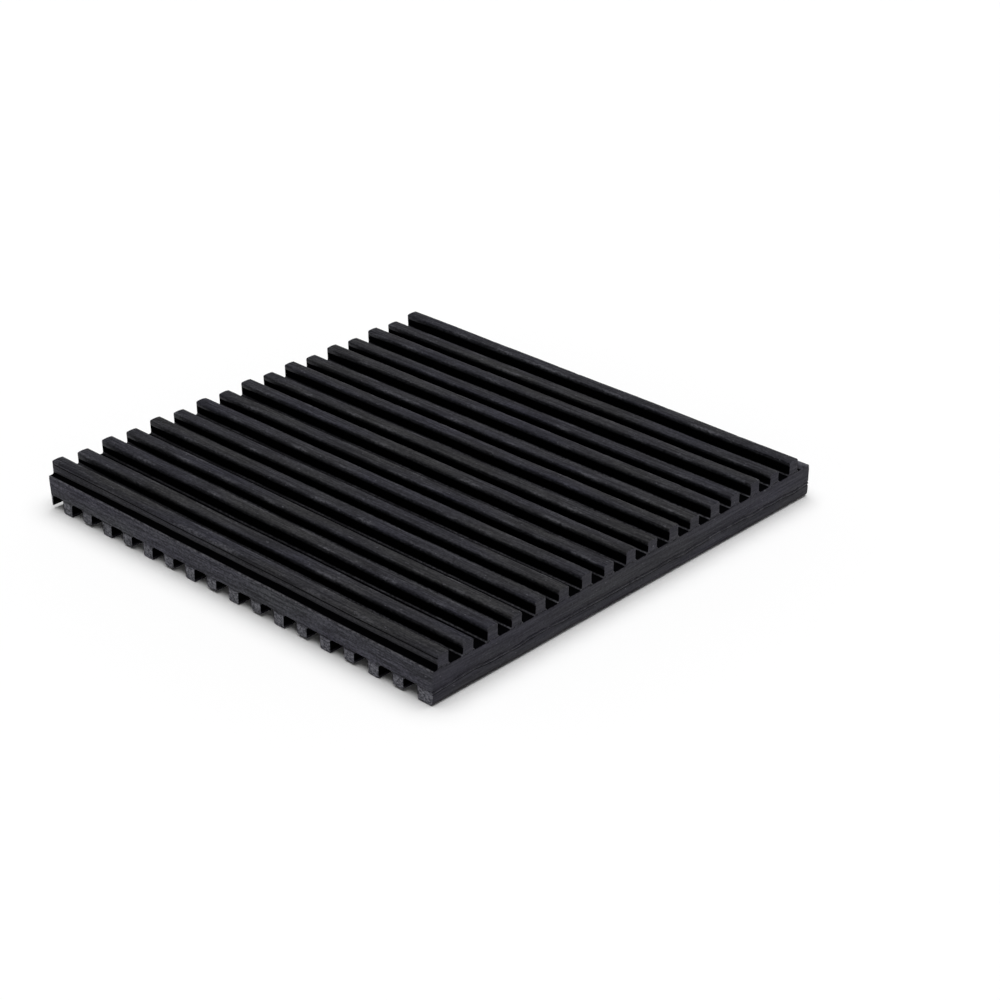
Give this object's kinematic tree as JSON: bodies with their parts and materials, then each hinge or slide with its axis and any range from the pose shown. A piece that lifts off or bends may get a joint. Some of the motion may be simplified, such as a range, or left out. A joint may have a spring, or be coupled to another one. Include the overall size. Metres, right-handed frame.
{
  "type": "anti-vibration machine pad",
  "caption": "Square moulded rubber pad with parallel ribs on its upper face and crossing ribs below, tall and short by turns, laid under a machine's foot to damp vibration.",
  "frame": {"origin": "centre of the pad's footprint, on the plane of the lower tall ribs' crowns", "axes": "+Z from the lower ribbed face up to the upper one, +X along the upper ribs towards the side with the flush lower rib, +Y along the lower ribs away from the bare ledge"},
  "size_m": [0.1017, 0.1016, 0.0095],
  "materials": {
    "moulded_rubber": "matt moulded black rubber"
  },
  "bodies": {
    "root": {"ribbed_pad": "moulded_rubber"}
  },
  "joints": []
}
